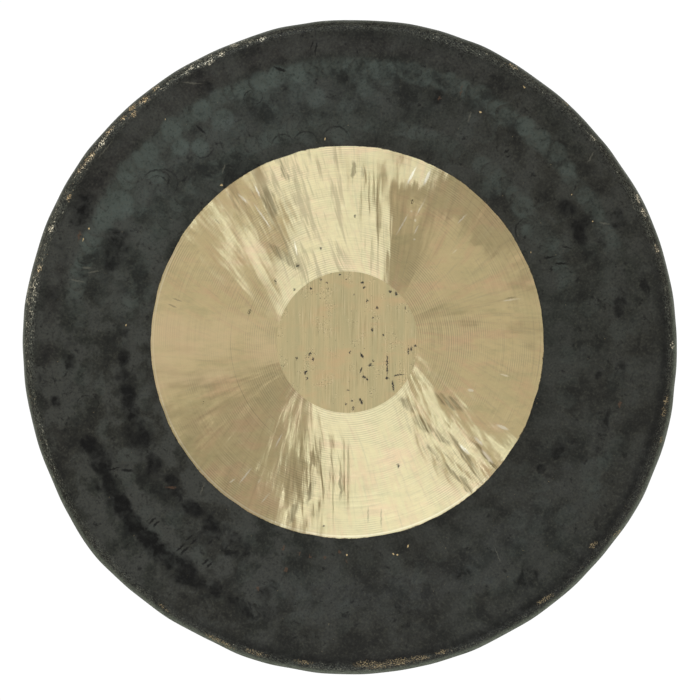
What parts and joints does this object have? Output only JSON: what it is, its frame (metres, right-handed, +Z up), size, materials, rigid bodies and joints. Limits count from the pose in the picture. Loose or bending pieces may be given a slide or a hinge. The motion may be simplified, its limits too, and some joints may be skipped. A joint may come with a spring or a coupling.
{
  "type": "gong",
  "caption": "Round hammered bronze gong with a turned-back rim, a bright lathed ring round a rough-ground centre, a dark patina outside it, and holes in the rim to hang it by.",
  "frame": {"origin": "middle of the gong's bounding box, on the gong's axis, halfway between the crown of the face and the lip of the rim", "axes": "the face looks towards -Y and the rim turns back towards +Y, +Z is up as the gong hangs, with the hanging holes at the top, and +X is to the right seen from the front"},
  "size_m": [0.61, 0.0542, 0.61],
  "materials": {
    "hammered_bronze": "high-tin bronze, hammered and left under a dark patina, with a bright lathed ring and a rough-ground centre disc"
  },
  "bodies": {
    "root": {"gong": "hammered_bronze"}
  },
  "joints": []
}
